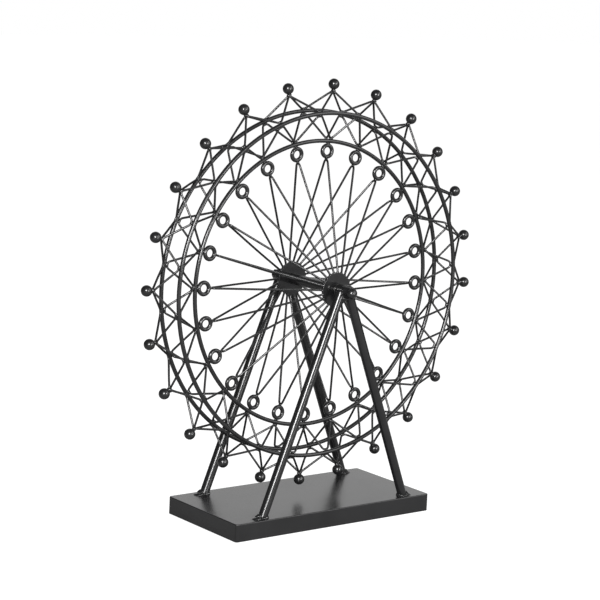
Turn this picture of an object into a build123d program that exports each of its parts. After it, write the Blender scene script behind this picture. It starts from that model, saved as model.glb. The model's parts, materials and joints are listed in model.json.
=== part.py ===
"""Desk-top ferris wheel of welded steel wire on an A-frame stand.

Millimetres, +Z up.  The origin is on the surface it stands on, under the middle of
the axle, the wheel turns about an axle along Y, and -Y is the front.
"""
import os
from math import acos, atan2, cos, hypot, pi, radians, sin, sqrt, tan

from build123d import *

# ---------------------------------------------------------------- base
# The base reaches a little further to the left of the A-frames than to the right.
base_length = 220.0
base_width = 107.0
base_offset_x = -4.0
shell_height = 16.0
shell_sheet = 1.5
shell_bend_inside = 1.0
shell_edge_radius = 0.8
plate_thickness = 1.2
plate_clearance = 0.2
felt_thickness = 1.5
felt_standout = 0.5
felt_margin = 2.0

# ---------------------------------------------------------------- A-frames
leg_diameter = 8.5
foot_inset_x = 29.5
foot_inset_y = 8.2
leg_gap_at_bearing = 4.0
foot_weld_toe = 1.3
foot_weld_throat = 0.3

# ---------------------------------------------------------------- axle and hub
axle_diameter = 6.0
running_clearance = 0.05
bearing_wall = 3.4
bearing_overhang = 1.75
nut_across_flats = 10.0
nut_hex_height = 5.0
nut_dome_height = 4.0
nut_hole_spare = 1.0
axle_chamfer = 0.5
washer_outer_diameter = 12.0
washer_thickness = 1.2
washer_play = 0.2
end_float = 0.3
hub_tube_wall = 2.0
hub_disc_diameter = 31.0
hub_disc_thickness = 2.5
hub_disc_inset = 3.6
hub_disc_edge = 0.5

# ---------------------------------------------------------------- wheel
pod_count = 24
inner_ring_radius = 130.0
outer_ring_step = 26.0
outer_ring_spacing = 27.2
ball_step = 25.5
ball_diameter = 10.0
ball_neck_length = 1.0
ball_neck_diameter = 3.2
wheel_clearance = 10.5
ring_wire = 3.8
lattice_wire = 2.0
spoke_wire = 2.0
eyelet_wire = 3.8
eyelet_bore = 6.6
crown_bend = 2.4
foot_bend = 2.8
foot_flat = 0.6
spoke_bend = 2.0
weld_gap = 0.1

# The pods are welded on by eye: they lead their even places by a few degrees, and stray
# from that lead in waves that fit once, twice and three times around the wheel.  The
# circle of the balls sits a little off the axle, mostly to the right.
pod_lead = 2.7
single_sway = 1.7
single_sway_phase = 60.0
double_sway = 0.5
double_sway_phase = 50.0
triple_sway = 0.8
triple_sway_phase = 80.0
ball_circle_shift = 1.4
ball_circle_shift_angle = 109.0

# ---------------------------------------------------------------- worked out
ball_radius = ball_diameter / 2
outer_ring_radius = inner_ring_radius + outer_ring_step
ball_circle_radius = outer_ring_radius + ball_step
axle_height = ball_circle_radius + ball_radius + wheel_clearance
base_top = felt_standout + shell_height
axle_z = base_top + axle_height
shell_corner_radius = shell_bend_inside + shell_sheet

leg_radius = leg_diameter / 2
foot_x = base_length / 2 - foot_inset_x
bearing_y = base_width / 2 - foot_inset_y
bearing_bore = axle_diameter + 2 * running_clearance
bearing_radius = axle_diameter / 2 + bearing_wall
bearing_length = leg_diameter + 2 * bearing_overhang
bearing_inner_y = bearing_y - bearing_length / 2
bearing_outer_y = bearing_y + bearing_length / 2
washer_y = bearing_inner_y - weld_gap - washer_thickness / 2
hub_tube_half = washer_y - washer_thickness / 2 - end_float
hub_tube_radius = axle_diameter / 2 + hub_tube_wall
hub_disc_y = hub_tube_half - hub_disc_inset - hub_disc_thickness / 2
hub_disc_radius = hub_disc_diameter / 2
axle_half = bearing_outer_y + weld_gap + nut_hex_height

ring_wire_radius = ring_wire / 2
lattice_radius = lattice_wire / 2
spoke_radius = spoke_wire / 2
eyelet_radius = (eyelet_bore + eyelet_wire) / 2
eyelet_outer_radius = eyelet_bore / 2 + eyelet_wire
eyelet_circle_radius = inner_ring_radius - ring_wire_radius - eyelet_outer_radius - weld_gap
outer_ring_y = outer_ring_spacing / 2

# Two wires lie side by side on the middle plane wherever a front and a rear one meet.
crown_y = lattice_radius + weld_gap / 2
ball_seat = sqrt((ball_radius + lattice_radius + weld_gap) ** 2 - crown_y**2)
ball_crown_radius = ball_circle_radius - ball_seat - ball_neck_length
ring_seat = ring_wire_radius + lattice_radius + weld_gap
ring_crown_radius = inner_ring_radius + sqrt(ring_seat**2 - crown_y**2)

# A leg's axis starts at its foot and passes half a bar outside the point, under the
# bearing, where the inside edges of the two legs come nearest.
leg_run = foot_x - leg_gap_at_bearing / 2
leg_rise = axle_height - bearing_radius
leg_lean = acos(leg_radius / hypot(leg_run, leg_rise)) - atan2(leg_rise, leg_run)

wheel_plane = Plane(origin=(0, 0, axle_z), x_dir=(1, 0, 0), z_dir=(0, -1, 0))


def station_angle(step):
    """Degrees from the top of the wheel, clockwise from the front, at a pod or between two."""
    even = 360 / pod_count * step
    once = single_sway * cos(radians(even - single_sway_phase))
    twice = double_sway * cos(radians(2 * even - double_sway_phase))
    thrice = triple_sway * cos(radians(3 * even - triple_sway_phase))
    return even + pod_lead + once + twice + thrice


def ball_reach(step):
    """How much further from the axle the ball of a pod lies than it would on a true circle."""
    return ball_circle_shift * cos(radians(station_angle(step) - ball_circle_shift_angle))


def wheel_point(radius, angle, y):
    """A point of the wheel from its distance to the axle, its angle and its depth."""
    turn = radians(angle)
    return Vector(radius * sin(turn), y, axle_z + radius * cos(turn))


def rim_direction(angle):
    """The way a rim runs, clockwise, at an angle."""
    turn = radians(angle)
    return Vector(cos(turn), 0, -sin(turn))


def write(part, name):
    """Name a finished piece and write its file."""
    part.label = name
    export_step(part, f"parts/{name}.step")


os.makedirs("parts", exist_ok=True)

# ---------------------------------------------------------------- base
base_plane = Plane(origin=(base_offset_x, 0, 0))

with BuildPart() as base_shell:
    with BuildSketch(base_plane.offset(felt_standout)):
        RectangleRounded(base_length, base_width, shell_corner_radius)
    extrude(amount=shell_height)
    fillet(base_shell.faces().sort_by(Axis.Z)[-1].edges(), shell_edge_radius)
    with BuildSketch(base_plane.offset(felt_standout)):
        RectangleRounded(
            base_length - 2 * shell_sheet,
            base_width - 2 * shell_sheet,
            shell_bend_inside,
        )
    extrude(amount=shell_height - shell_sheet, mode=Mode.SUBTRACT)
write(base_shell.part, "base_shell")

plate_margin = shell_sheet + plate_clearance

with BuildPart() as base_plate:
    with BuildSketch(base_plane.offset(felt_thickness)):
        RectangleRounded(
            base_length - 2 * plate_margin,
            base_width - 2 * plate_margin,
            shell_bend_inside,
        )
    extrude(amount=plate_thickness)
write(base_plate.part, "base_plate")

felt_inset = plate_margin + felt_margin

with BuildPart() as base_felt:
    with BuildSketch(base_plane):
        Rectangle(base_length - 2 * felt_inset, base_width - 2 * felt_inset)
    extrude(amount=felt_thickness)
write(base_felt.part, "base_felt")


# ---------------------------------------------------------------- A-frames
def build_leg(side, depth):
    """One leg: a round bar on a foot weld, coped to the bearing at the top.

    side is -1 on the left and 1 on the right, depth is the A-frame's place along Y.
    """
    foot = Vector(side * foot_x, depth, base_top)
    rise = Vector(-side * sin(leg_lean), 0, cos(leg_lean))
    foot_reach = leg_radius / cos(leg_lean)
    bar_length = rise.dot(Vector(0, depth, axle_z) - foot)
    with BuildPart() as leg:
        with BuildSketch(Plane(origin=foot - rise * leg_diameter, z_dir=rise)):
            Circle(leg_radius)
        extrude(amount=bar_length + leg_diameter)
        split(bisect_by=Plane.XY.offset(base_top), keep=Keep.TOP)
        with BuildSketch(Plane(origin=foot)):
            Ellipse(foot_reach + foot_weld_toe, leg_radius + foot_weld_toe)
        with BuildSketch(Plane(origin=foot + rise * foot_weld_toe, z_dir=(0, 0, 1))):
            Ellipse(foot_reach + foot_weld_throat, leg_radius + foot_weld_throat)
        loft()
        with BuildSketch(wheel_plane.offset(-depth - bearing_length / 2)):
            Circle(bearing_radius + weld_gap)
        extrude(amount=bearing_length, mode=Mode.SUBTRACT)
    return leg.part


for depth_name, depth in (("front", -bearing_y), ("rear", bearing_y)):
    for side_name, side in (("left", -1), ("right", 1)):
        write(build_leg(side, depth), f"leg_{depth_name}_{side_name}")

# ---------------------------------------------------------------- bearings and axle
for depth_name, depth in (("front", -bearing_y), ("rear", bearing_y)):
    with BuildPart() as bearing:
        with BuildSketch(wheel_plane.offset(-depth - bearing_length / 2)):
            Circle(bearing_radius)
            Circle(bearing_bore / 2, mode=Mode.SUBTRACT)
        extrude(amount=bearing_length)
    write(bearing.part, f"bearing_{depth_name}")

    towards_wheel = 1 if depth < 0 else -1
    with BuildPart() as washer:
        with BuildSketch(wheel_plane.offset(towards_wheel * washer_y - washer_thickness / 2)):
            Circle(washer_outer_diameter / 2)
            Circle(axle_diameter / 2 + washer_play, mode=Mode.SUBTRACT)
        extrude(amount=washer_thickness)
    write(washer.part, f"thrust_washer_{depth_name}")

with BuildPart() as axle:
    with BuildSketch(wheel_plane.offset(-axle_half)):
        Circle(axle_diameter / 2)
    extrude(amount=2 * axle_half)
    chamfer(axle.faces().filter_by(GeomType.PLANE).edges(), axle_chamfer)
write(axle.part, "axle")


def build_cap_nut(outward):
    """A domed nut on one end of the axle; outward is the way its dome points."""
    seat = Plane(
        origin=(0, outward * (bearing_outer_y + weld_gap), axle_z),
        x_dir=(1, 0, 0),
        z_dir=(0, outward, 0),
    )
    dome_base_radius = nut_across_flats / 2
    dome_radius = (dome_base_radius**2 + nut_dome_height**2) / (2 * nut_dome_height)
    with BuildPart() as nut:
        with BuildSketch(seat):
            RegularPolygon(nut_across_flats / 2, 6, major_radius=False)
        extrude(amount=nut_hex_height)
        with BuildSketch(Plane(origin=seat.origin, x_dir=(1, 0, 0), z_dir=(0, 0, 1))):
            with BuildLine():
                l1 = Line((0, 0), (dome_base_radius, 0))
                l2 = Line(l1 @ 1, (dome_base_radius, outward * nut_hex_height))
                l3 = RadiusArc(
                    l2 @ 1,
                    (0, outward * (nut_hex_height + nut_dome_height)),
                    -outward * dome_radius,
                )
                Line(l3 @ 1, l1 @ 0)
            make_face()
        revolve(axis=Axis(seat.origin, (0, 1, 0)))
        with BuildSketch(seat):
            Circle(axle_diameter / 2 + running_clearance)
        extrude(amount=nut_hex_height + nut_hole_spare, mode=Mode.SUBTRACT)
    return nut.part


write(build_cap_nut(-1), "cap_nut_front")
write(build_cap_nut(1), "cap_nut_rear")

# ---------------------------------------------------------------- hub
with BuildPart() as hub_tube:
    with BuildSketch(wheel_plane.offset(-hub_tube_half)):
        Circle(hub_tube_radius)
        Circle(axle_diameter / 2 + running_clearance, mode=Mode.SUBTRACT)
    extrude(amount=2 * hub_tube_half)
write(hub_tube.part, "hub_tube")

for depth_name, forward in (("front", 1), ("rear", -1)):
    with BuildPart() as hub_disc:
        with BuildSketch(wheel_plane.offset(forward * hub_disc_y - hub_disc_thickness / 2)):
            Circle(hub_disc_radius)
        extrude(amount=hub_disc_thickness)
        fillet(hub_disc.edges().filter_by(GeomType.CIRCLE), hub_disc_edge)
        with BuildSketch(wheel_plane.offset(forward * hub_disc_y - hub_disc_thickness / 2)):
            Circle(hub_tube_radius + running_clearance)
        extrude(amount=hub_disc_thickness, mode=Mode.SUBTRACT)
    write(hub_disc.part, f"hub_disc_{depth_name}")


# ---------------------------------------------------------------- rings
def build_ring(radius, forward):
    """A ring of round bar about the axle, a distance in front of the middle plane."""
    with BuildPart(wheel_plane.offset(forward)) as ring:
        Torus(radius, ring_wire_radius)
    return ring.part


write(build_ring(outer_ring_radius, outer_ring_y), "outer_ring_front")
write(build_ring(outer_ring_radius, -outer_ring_y), "outer_ring_rear")
write(build_ring(inner_ring_radius, 0), "inner_ring")


# ---------------------------------------------------------------- lattice
def build_vee(step, ring_y, crown_radius):
    """One bent wire: a foot along the outer ring half a step to each side of a pod,
    and a crown on the middle plane at the pod's own angle.
    """
    side = 1 if ring_y > 0 else -1
    across = Vector(crown_radius - outer_ring_radius, side * crown_y - ring_y).normalized()
    foot_radius = outer_ring_radius + across.X * ring_seat
    foot_y = ring_y + across.Y * ring_seat
    start_angle = station_angle(step - 0.5)
    end_angle = station_angle(step + 0.5)
    start_way = rim_direction(start_angle)
    end_way = rim_direction(end_angle)
    start = wheel_point(foot_radius, start_angle, foot_y) + start_way * (weld_gap / 2)
    end = wheel_point(foot_radius, end_angle, foot_y) - end_way * (weld_gap / 2)
    crown = wheel_point(crown_radius, station_angle(step), side * crown_y)
    foot_turn = radians(start_way.get_angle(crown - start))
    foot_run = foot_bend * tan(foot_turn / 2) + foot_flat
    start_knee = start + start_way * foot_run
    end_knee = end - end_way * foot_run
    reach = crown - (start_knee + end_knee) * 0.5
    half_angle = atan2((end_knee - start_knee).length / 2, reach.length)
    corner = crown + reach.normalized() * crown_bend * (1 / sin(half_angle) - 1)
    with BuildPart() as vee:
        with BuildLine() as centre_line:
            FilletPolyline(
                start, start_knee, corner, end_knee, end, radius=[foot_bend, crown_bend, foot_bend]
            )
        with BuildSketch(Plane(origin=start, z_dir=start_way)):
            Circle(lattice_radius)
        sweep(path=centre_line.line)
    return vee.part


def build_lattice(ring_y, crown_radii):
    """The bent wires of one lattice, one to a pod."""
    vees = [build_vee(step, ring_y, crown_radii[step]) for step in range(pod_count)]
    with BuildPart() as lattice:
        add(vees)
    return lattice.part


outer_crowns = [ball_crown_radius + ball_reach(step) for step in range(pod_count)]
inner_crowns = [ring_crown_radius] * pod_count

write(build_lattice(-outer_ring_y, outer_crowns), "outer_lattice_front")
write(build_lattice(outer_ring_y, outer_crowns), "outer_lattice_rear")
write(build_lattice(-outer_ring_y, inner_crowns), "inner_lattice_front")
write(build_lattice(outer_ring_y, inner_crowns), "inner_lattice_rear")

# ---------------------------------------------------------------- balls
ball_neck_foot = ball_crown_radius + lattice_radius + weld_gap

for step in range(pod_count):
    centre = wheel_point(ball_circle_radius + ball_reach(step), station_angle(step), 0)
    neck_foot = wheel_point(ball_neck_foot + ball_reach(step), station_angle(step), 0)
    with BuildPart() as ball:
        with BuildSketch(Plane(origin=neck_foot, z_dir=centre - neck_foot)):
            Circle(ball_neck_diameter / 2)
        extrude(amount=(centre - neck_foot).length)
        with Locations(centre):
            Sphere(ball_radius)
    write(ball.part, f"ball_{step + 1:02d}")

# ---------------------------------------------------------------- eyelets
with BuildPart() as eyelets:
    for step in range(pod_count):
        centre = wheel_point(eyelet_circle_radius, station_angle(step), 0)
        with Locations(Plane(origin=centre, z_dir=(0, -1, 0))):
            Torus(eyelet_radius, eyelet_wire / 2)
write(eyelets.part, "eyelets")

# ---------------------------------------------------------------- spokes
spoke_crown_radius = eyelet_circle_radius - eyelet_outer_radius - weld_gap - spoke_radius
spoke_fall = atan2(hub_disc_y, spoke_crown_radius - hub_disc_radius)
spoke_end_radius = hub_disc_radius + weld_gap + spoke_radius * sin(spoke_fall)
spoke_crown_run = spoke_bend * tan((pi / 2 - spoke_fall) / 2) + weld_gap


def build_spoke(step, side):
    """One spoke: straight from a hub disc, then bent across under the eyelet as far as
    the middle plane, where it meets the spoke of the other side.
    """
    angle = station_angle(step)
    end = wheel_point(spoke_end_radius, angle, side * hub_disc_y)
    crown = wheel_point(spoke_crown_radius, angle, side * weld_gap / 2)
    corner = wheel_point(spoke_crown_radius, angle, side * (weld_gap / 2 + spoke_crown_run))
    with BuildPart() as spoke:
        with BuildLine() as centre_line:
            FilletPolyline(end, corner, crown, radius=spoke_bend)
        with BuildSketch(Plane(origin=end, z_dir=corner - end)):
            Circle(spoke_radius)
        sweep(path=centre_line.line)
    return spoke.part


for depth_name, side in (("front", -1), ("rear", 1)):
    with BuildPart() as spokes:
        add([build_spoke(step, side) for step in range(pod_count)])
    write(spokes.part, f"spokes_{depth_name}")
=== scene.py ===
"""Dress a desk-top ferris wheel of welded steel wire and set it in a white studio.

Metres, +Z up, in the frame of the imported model: the wheel turns about an axle along Y,
-Y is the front, and the origin is on the floor under the middle of the axle.
"""
import json
from math import atan2, cos, floor, hypot, pi, radians, sin, sqrt, tan
from random import Random

import bmesh
import bpy
from bpy.props import (
    FloatProperty,
    FloatVectorProperty,
    IntProperty,
    PointerProperty,
)
from mathutils import Matrix, Vector


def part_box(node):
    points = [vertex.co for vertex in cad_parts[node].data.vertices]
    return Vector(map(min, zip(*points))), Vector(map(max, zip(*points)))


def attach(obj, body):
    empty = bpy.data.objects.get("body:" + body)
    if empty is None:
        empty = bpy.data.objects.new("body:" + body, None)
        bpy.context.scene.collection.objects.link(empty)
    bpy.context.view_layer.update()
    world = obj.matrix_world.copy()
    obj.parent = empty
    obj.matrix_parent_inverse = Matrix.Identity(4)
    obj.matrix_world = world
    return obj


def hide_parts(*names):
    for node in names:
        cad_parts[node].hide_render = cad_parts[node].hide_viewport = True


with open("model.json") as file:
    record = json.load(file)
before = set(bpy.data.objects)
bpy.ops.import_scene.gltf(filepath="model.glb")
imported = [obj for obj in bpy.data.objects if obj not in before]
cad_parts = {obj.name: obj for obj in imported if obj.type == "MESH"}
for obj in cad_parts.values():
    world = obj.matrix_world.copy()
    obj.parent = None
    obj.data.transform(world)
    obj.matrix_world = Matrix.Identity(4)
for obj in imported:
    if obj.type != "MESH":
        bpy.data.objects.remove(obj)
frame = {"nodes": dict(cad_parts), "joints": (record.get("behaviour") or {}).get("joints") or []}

bl_info = {
    "name": "Wire ferris wheel",
    "version": (1, 0, 0),
    "blender": (4, 5, 0),
    "location": "View3D > Sidebar > Ferris wheel",
    "description": "Builds the painted wire, the welds and the studio of a desk-top ferris wheel",
    "category": "Object",
}

X, Y, Z = 0, 1, 2
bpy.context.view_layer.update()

# A leg's box takes in the wider weld at its foot, so the bar's own thickness stands here.
leg_bar = 0.0085
bead_lift = 0.0006
ball_fillet = 0.0008
ring_steps = 360

# How far a heap of weld stands from a leg's middle, in the leg's radius, and its two lumps:
# aside as a share of its half size, along the axle, up as a share, lean, twist, size as shares.
heap_standoff = 1.1
heap_lumps = (
    (0.15, -0.0006, 0.0, 0.12, 0.1, (1.0, 1.0, 0.8)),
    (-0.1, 0.0004, 0.4, 0.7, -0.1, (0.7, 0.8, 1.0)),
)

# Soft boxes: compass angle in degrees, height, width and length.
lamp_distance = 2.2
lamps = {
    "key": (-134.0, 0.88, (0.6, 0.75)),
    "strip": (-80.0, 0.55, (0.3, 1.0)),
    "fill": (-48.0, 1.1, (0.9, 1.7)),
}
# Grey cards: the compass angles in degrees at which each starts and ends.
cards = {"left_card": (-165.0, -275.0), "right_card": (-25.0, 22.0)}
card_distance = 1.7
card_height = 2.2
card_steps = 12
floor_reach = 8.0
floor_tone = 0.36
floor_glow = 0.85
floor_mirrored = 0.05


# ---------------------------------------------------------------- places from the frame
def span(node, axis):
    """How far a node reaches along an axis."""
    low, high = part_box(node)
    return high[axis] - low[axis]


def middle(node):
    """The middle of a node's box."""
    low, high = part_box(node)
    return (low + high) / 2


axle_z = frame["joints"][0]["pos_m"][Z]


def radial_reach(node):
    """The least and the greatest distance of a node's surface from the axle's line."""
    distances = [hypot(v.co.x, v.co.z - axle_z) for v in frame["nodes"][node].data.vertices]
    return min(distances), max(distances)


ball_nodes = sorted(name for name in frame["nodes"] if name.startswith("ball_"))
pod_count = len(ball_nodes)
ball_radius = span(ball_nodes[0], Y) / 2


def ball_centre(node):
    """A ball's centre: its neck reaches towards the axle only, so its far sides give it."""
    low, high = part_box(node)
    towards_right = low.x + high.x > 0
    towards_top = low.z + high.z > 2 * axle_z
    x = high.x - ball_radius if towards_right else low.x + ball_radius
    z = high.z - ball_radius if towards_top else low.z + ball_radius
    return Vector((x, 0, z))


ball_centres = [ball_centre(node) for node in ball_nodes]
ball_distances = [hypot(c.x, c.z - axle_z) for c in ball_centres]
pod_angles = [atan2(c.x, c.z - axle_z) % (2 * pi) for c in ball_centres]

ring_wire = span("outer_ring_front", Y)
outer_ring_radius = (span("outer_ring_front", X) - ring_wire) / 2
inner_ring_radius = (span("inner_ring", X) - ring_wire) / 2
outer_ring_y = middle("outer_ring_rear").y

eyelet_wire = span("eyelets", Y)
eyelet_reach = radial_reach("eyelets")
eyelet_circle_radius = sum(eyelet_reach) / 2
eyelet_outer_radius = (eyelet_reach[1] - eyelet_reach[0]) / 2

leg_radius = leg_bar / 2
bearing_radius = span("bearing_front", Z) / 2

hub_disc_radius = span("hub_disc_front", X) / 2
hub_disc_y = middle("hub_disc_rear").y


def pod_angle(pod):
    """The angle of a pod, clockwise from the top as seen from the front, counted on past a turn."""
    turns, place = divmod(pod, pod_count)
    return pod_angles[place] + turns * 2 * pi


def station_angle(step):
    """The angle at a pod, or between two pods for a step that isn't whole."""
    before = floor(step)
    share = step - before
    return (1 - share) * pod_angle(before) + share * pod_angle(before + 1)


def wheel_point(radius, angle, y):
    """A point of the wheel from its distance to the axle, its angle and its depth."""
    return Vector((radius * sin(angle), y, axle_z + radius * cos(angle)))


def rim_direction(angle):
    """The way a rim runs, clockwise, at an angle."""
    return Vector((cos(angle), 0, -sin(angle)))


# ---------------------------------------------------------------- what a user would change
def length_setting(name, description, default, least=0.0):
    """A length in metres."""
    return FloatProperty(
        name=name, description=description, default=default, min=least, subtype="DISTANCE"
    )


def weld_setting(name, description, default):
    """Half the size of a weld, three ways."""
    return FloatVectorProperty(
        name=name, description=description, default=default, subtype="XYZ", unit="LENGTH"
    )


def colour_setting(name, description, default):
    """A colour."""
    return FloatVectorProperty(
        name=name, description=description, default=default, subtype="COLOR", min=0.0, max=1.0
    )


def power_setting(name, description, default):
    """The power of a lamp in watts."""
    return FloatProperty(
        name=name, description=description, default=default, min=0.0, unit="POWER"
    )


class WheelSizes(bpy.types.PropertyGroup):
    """Sizes of the wheel's wires, welds and balls."""

    lattice_wire: length_setting(
        "Lattice wire", "Thickness of the bent wires between the rings", 0.002, 0.0005
    )
    spoke_wire: length_setting("Spoke wire", "Thickness of the spokes", 0.002, 0.0005)
    crown_bend: length_setting(
        "Crown bend", "Radius of the bend at the top of a lattice wire", 0.0024
    )
    foot_bend: length_setting(
        "Foot bend", "Radius of the bend where a lattice wire leaves its ring", 0.0028
    )
    spoke_bend: length_setting(
        "Spoke bend", "Radius of the bend where a spoke turns in under its eyelet", 0.002
    )
    wire_bow: length_setting(
        "Wire bow", "How far a hand-bent wire strays from straight between its welds", 0.0005
    )
    inner_crown_stray: length_setting(
        "Inner crown stray", "How far a crown may be welded on the inner ring from its pod", 0.0026
    )
    outer_crown_stray: length_setting(
        "Outer crown stray", "How far a crown may sit beside the middle of its ball", 0.0007
    )
    weld_lumpiness: length_setting(
        "Weld lumpiness", "Height of the lumps on the weld beads", 0.0004
    )
    rim_weld: weld_setting(
        "Rim weld",
        "Half the weld of two feet on an outer ring: along it, along the axle, outwards",
        (0.0026, 0.0014, 0.0012),
    )
    crown_weld: weld_setting(
        "Crown weld", "Half the weld of a crown on the inner ring", (0.0021, 0.0014, 0.0010)
    )
    eyelet_weld: weld_setting(
        "Eyelet weld",
        "Half the weld between an eyelet and the inner ring",
        (0.0022, 0.0014, 0.0008),
    )
    spoke_weld: weld_setting(
        "Spoke weld", "Half the weld between an eyelet and its two spokes", (0.0014, 0.0018, 0.0009)
    )
    ball_weld: weld_setting(
        "Ball weld", "Half the weld between two crowns and their ball", (0.0025, 0.0023, 0.0015)
    )
    hub_weld: weld_setting(
        "Hub weld", "Half the weld between a spoke and its hub disc", (0.0014, 0.0014, 0.0012)
    )
    ball_neck: length_setting(
        "Ball neck", "Thickness of the weld between a ball and its wires", 0.0032
    )
    wire_sides: IntProperty(
        name="Wire sides",
        description="Faces around a thin wire",
        default=12,
        min=6,
    )
    seed: IntProperty(
        name="Seed",
        description="Chooses the bows of the wires and the lumps of the welds",
        default=7,
        min=0,
    )


class StandSizes(bpy.types.PropertyGroup):
    """Sizes of the weld beads on the stand."""

    bead_thickness: length_setting(
        "Bead thickness", "Thickness of the weld bead around the foot of a leg", 0.0026, 0.0005
    )
    left_foot_weld: weld_setting(
        "Left foot weld",
        "Half the heap of weld outside the foot of a left leg",
        (0.0062, 0.0040, 0.0026),
    )
    right_foot_weld: weld_setting(
        "Right foot weld",
        "Half the heap of weld outside the foot of a right leg",
        (0.0030, 0.0040, 0.0024),
    )
    bead_pitch: length_setting(
        "Bead pitch", "Distance from one ripple of a weld bead to the next", 0.0011, 0.0003
    )
    seed: IntProperty(
        name="Seed",
        description="Chooses the ripples of the weld beads",
        default=3,
        min=0,
    )


class Finishes(bpy.types.PropertyGroup):
    """Colours of the paint, the steel and the felt."""

    paint: colour_setting("Paint", "Colour of the black paint", (0.0065, 0.0065, 0.0068))
    paint_high: colour_setting(
        "Dusty paint", "Colour of the black paint where it is a little dull", (0.013, 0.013, 0.0135)
    )
    steel: colour_setting("Steel", "Colour of the bare steel", (0.52, 0.51, 0.50))
    felt: colour_setting("Felt", "Colour of the felt under the base", (0.030, 0.030, 0.032))


class StudioSettings(bpy.types.PropertyGroup):
    """Camera, lamps and background."""

    camera_place: FloatVectorProperty(
        name="Camera place",
        description="Where the camera stands",
        default=(-1.1236, -1.43973, 0.51265),
        subtype="TRANSLATION",
        unit="LENGTH",
    )
    camera_turn: FloatVectorProperty(
        name="Camera turn",
        description="How the camera is turned",
        default=(radians(80.2158), radians(-2.5635), radians(-37.1635)),
        subtype="EULER",
        unit="ROTATION",
    )
    focal_length: FloatProperty(
        name="Focal length",
        description="Focal length in millimetres on a 36 mm sensor",
        default=122.48,
        min=10.0,
    )
    background: colour_setting(
        "Background", "Colour of the floor and the backdrop", (1.0, 1.0, 1.0)
    )
    ambient: FloatProperty(
        name="Ambient light",
        description="Brightness of the light that comes from all around",
        default=0.36,
        min=0.0,
    )
    key_power: power_setting("Key light", "Power of the soft box above the camera", 76.0)
    strip_power: power_setting(
        "Strip light", "Power of the narrow soft box to the right of the camera", 28.0
    )
    fill_power: power_setting("Fill light", "Power of the large soft box on the right", 14.0)


# ---------------------------------------------------------------- node trees
def feed(node, feeds):
    """Feed a node's inputs with values or with the outputs of other nodes."""
    for socket, value in feeds.items():
        if isinstance(value, bpy.types.NodeSocket):
            node.id_data.links.new(value, node.inputs[socket])
        else:
            node.inputs[socket].default_value = value


def put(tree, kind, feeds, **settings):
    """Add a node with its settings, and feed its inputs."""
    node = tree.nodes.new(kind)
    for name, value in settings.items():
        setattr(node, name, value)
    feed(node, feeds)
    return node


def new_tree(name, kind, inputs, outputs):
    """A node tree with named inputs and outputs; returns it with its input node."""
    tree = bpy.data.node_groups.new(name, kind)
    for label, what, default in inputs:
        socket = tree.interface.new_socket(label, in_out="INPUT", socket_type=f"NodeSocket{what}")
        if default is not None:
            socket.default_value = default
    for label, what in outputs:
        tree.interface.new_socket(label, in_out="OUTPUT", socket_type=f"NodeSocket{what}")
    return tree, tree.nodes.new("NodeGroupInput").outputs


def finish_tree(tree, results):
    """Join the last sockets of a tree to its output."""
    put(tree, "NodeGroupOutput", results)
    return tree


def maths(tree, operation, *values):
    """The result of a sum on numbers."""
    return put(tree, "ShaderNodeMath", dict(enumerate(values)), operation=operation).outputs[0]


def vector_maths(tree, operation, first, second):
    """The result of a sum on two vectors, or on a vector and the number that scales it."""
    other = "Scale" if operation == "SCALE" else 1
    node = put(tree, "ShaderNodeVectorMath", {0: first, other: second}, operation=operation)
    return node.outputs["Vector"]


def ranged(tree, value, low, high):
    """A value from nought to one, moved to another range."""
    node = put(tree, "ShaderNodeMapRange", {"Value": value, "To Min": low, "To Max": high})
    return node.outputs["Result"]


def object_place(tree):
    """The place on the object, as materials read it."""
    return put(tree, "ShaderNodeTexCoord", {}).outputs["Object"]


def noise(tree, place, scale, **settings):
    """Cloudy noise from nought to one."""
    node = put(tree, "ShaderNodeTexNoise", {"Vector": place, "Scale": scale, **settings})
    return node.outputs["Fac"]


def bumped(tree, height, strength, distance):
    """A surface's direction, made uneven by a height."""
    feeds = {"Height": height, "Strength": strength, "Distance": distance}
    return put(tree, "ShaderNodeBump", feeds).outputs["Normal"]


def soft_noise(tree, scale, seed):
    """A vector that wanders about nought with the place, from -0.5 to 0.5 each way."""
    feeds = {"W": seed, "Scale": scale, "Detail": 1.0}
    cloud = put(tree, "ShaderNodeTexNoise", feeds, noise_dimensions="4D")
    return vector_maths(tree, "SUBTRACT", cloud.outputs["Color"], (0.5, 0.5, 0.5))


def mix_colours(tree, share, first, second):
    """A colour between two others."""
    node = put(tree, "ShaderNodeMix", {"Factor": share}, data_type="RGBA")
    colours = [socket for socket in node.inputs if socket.type == "RGBA"]
    for socket, value in zip(colours, (first, second)):
        if isinstance(value, bpy.types.NodeSocket):
            tree.links.new(value, socket)
        else:
            socket.default_value = value
    return next(socket for socket in node.outputs if socket.type == "RGBA")


def stored(tree, name, data_type):
    """A value that was stored on the points of a mesh."""
    node = put(tree, "GeometryNodeInputNamedAttribute", {"Name": name}, data_type=data_type)
    return node.outputs["Attribute"]


def moved(tree, geometry, offset):
    """Geometry with each point moved by its offset."""
    node = put(tree, "GeometryNodeSetPosition", {"Geometry": geometry, "Offset": offset})
    return node.outputs["Geometry"]


def lumpy_copies(tree, points, piece, rotation, scale, lumps):
    """Copies of a piece at points, made lumpy; lumps are a scale, a seed and a height."""
    copies = put(
        tree,
        "GeometryNodeInstanceOnPoints",
        {"Points": points, "Instance": piece, "Rotation": rotation, "Scale": scale},
    )
    real = put(tree, "GeometryNodeRealizeInstances", {"Geometry": copies.outputs["Instances"]})
    lump_scale, seed, height = lumps
    push = vector_maths(tree, "SCALE", soft_noise(tree, lump_scale, seed), height)
    return moved(tree, real.outputs["Geometry"], push)


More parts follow.
